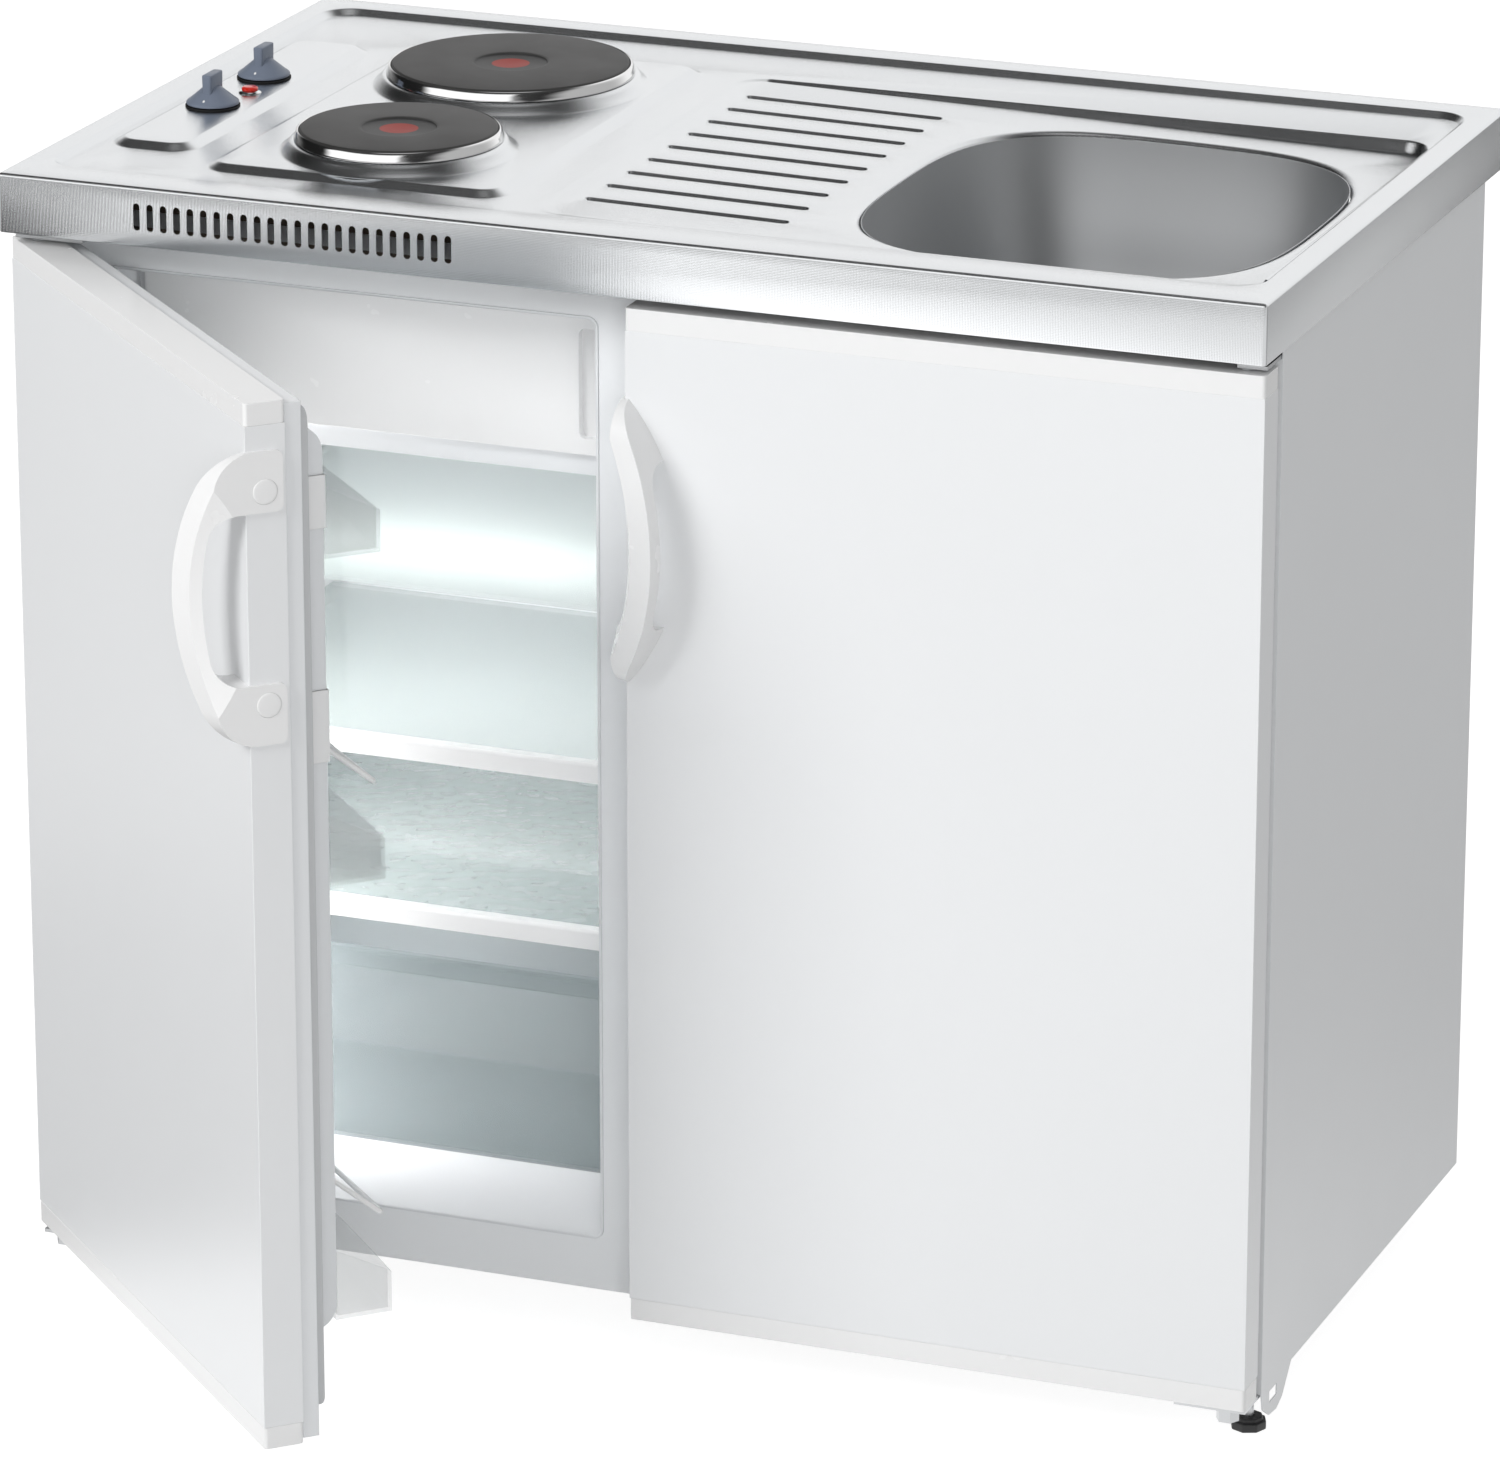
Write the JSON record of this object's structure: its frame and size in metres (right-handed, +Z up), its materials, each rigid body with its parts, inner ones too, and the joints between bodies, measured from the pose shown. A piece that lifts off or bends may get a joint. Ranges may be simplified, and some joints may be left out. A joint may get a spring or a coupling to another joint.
{
  "type": "kitchenette unit with sink and hob",
  "caption": "Free-standing kitchenette: pressed steel worktop with a sink, drainer and hotplates over a small refrigerator and a sink cupboard, with hinged doors and turning knobs.",
  "frame": {"origin": "on the floor, in the wall plane, at the middle of the width", "axes": "+X to the right as seen from the front, +Y towards the wall, +Z up"},
  "size_m": [1.0031, 0.9377, 0.9215],
  "materials": {
    "steel": "satin",
    "bright": "polished",
    "zinc": "satin zinc plate",
    "iron": "matte black",
    "batten": "raw",
    "white_enamel": "satin",
    "white_plastic": "satin",
    "liner": "gloss",
    "foam": "rigid foam, hidden",
    "freezer": "satin",
    "glass": "clear",
    "clear_plastic": "clear",
    "seal": "matte",
    "black_rubber": "matte",
    "knob": "fine",
    "dark": "satin",
    "black_plastic": "matte",
    "ivory": "matte",
    "red": "gloss",
    "white_board": "white coated"
  },
  "bodies": {
    "cabinet": {"worktop": "steel", "worktop_frame": "batten", "sink_flange": "steel", "sink_bowl": "steel", "sink_floor": "steel", "sink_waste": "bright", "waste_nut": "black_plastic", "hotplate_large": "iron", "hotplate_small": "iron", "spill_ring_large": "bright", "spill_ring_small": "bright", "hotplate_clamps": "zinc", "hotplate_studs": "zinc", "hob_switches": "ivory", "knob_seals": "black_rubber", "pilot_bezel": "bright", "pilot_lens": "red", "fridge_shell": "white_enamel", "fridge_foam": "foam", "fridge_liner": "liner", "freezer_box": "freezer", "fridge_shelves": "glass", "crisper_shelf": "glass", "shelf_trims": "white_plastic", "thermostat_housing": "white_plastic", "compressor": "dark", "condenser": "dark", "condenser_feed": "dark", "drip_tray": "white_plastic", "machine_tray": "zinc", "cable_gland": "black_rubber", "fridge_hinges": "zinc", "cupboard_side": "white_enamel", "cupboard_divider": "white_enamel", "cupboard_floor": "white_enamel", "cupboard_back": "white_enamel", "cupboard_rail": "white_enamel", "cupboard_shelf": "white_board", "cupboard_hinges": "zinc", "feet": "black_rubber", "foot_studs": "zinc"},
    "fridge_door": {"fridge_door_panel": "white_enamel", "fridge_door_caps": "white_plastic", "fridge_door_foam": "foam", "fridge_door_liner": "liner", "fridge_door_seal": "seal", "fridge_handle": "white_plastic", "fridge_handle_caps": "white_plastic", "door_racks": "clear_plastic", "rack_brackets": "white_plastic", "bottle_wires": "white_enamel"},
    "cupboard_door": {"cupboard_door_panel": "white_enamel", "cupboard_door_back": "white_enamel", "cupboard_door_caps": "white_plastic", "cupboard_handle": "white_plastic", "cupboard_handle_caps": "white_plastic"},
    "front_knob": {"knob_front": "knob", "spindle_front": "zinc"},
    "rear_knob": {"knob_rear": "knob", "spindle_rear": "zinc"},
    "freezer_door": {"freezer_flap": "white_plastic"},
    "crisper_drawer": {"crisper": "clear_plastic"},
    "thermostat": {"thermostat_dial": "white_plastic"}
  },
  "joints": [
    {"name": "fridge_door_hinge", "type": "hinge", "parent": "cabinet", "child": "fridge_door", "pos_m": [-0.479, -0.574, 0.44], "axis": [0, 0, -1], "range_deg": [-44.5, 70.5]},
    {"name": "cupboard_door_hinge", "type": "hinge", "parent": "cabinet", "child": "cupboard_door", "pos_m": [0.479, -0.574, 0.44], "axis": [0, 0, 1], "range_deg": [0, 110]},
    {"name": "front_knob_turn", "type": "hinge", "parent": "cabinet", "child": "front_knob", "pos_m": [-0.434, -0.358, 0.9], "axis": [0, 0, -1], "range_deg": [0, 270]},
    {"name": "rear_knob_turn", "type": "hinge", "parent": "cabinet", "child": "rear_knob", "pos_m": [-0.434, -0.263, 0.9], "axis": [0, 0, -1], "range_deg": [0, 270]},
    {"name": "freezer_flap_hinge", "type": "hinge", "parent": "cabinet", "child": "freezer_door", "pos_m": [-0.448, -0.447, 0.738], "axis": [0, 0, -1], "range_deg": [0, 40]},
    {"name": "crisper_slide", "type": "slide", "parent": "cabinet", "child": "crisper_drawer", "axis": [0, -1, 0], "range_m": [0, 0.08]},
    {"name": "thermostat_turn", "type": "hinge", "parent": "cabinet", "child": "thermostat", "pos_m": [-0.06, -0.356, 0.613], "axis": [-1, 0, 0], "range_deg": [0, 300]}
  ]
}
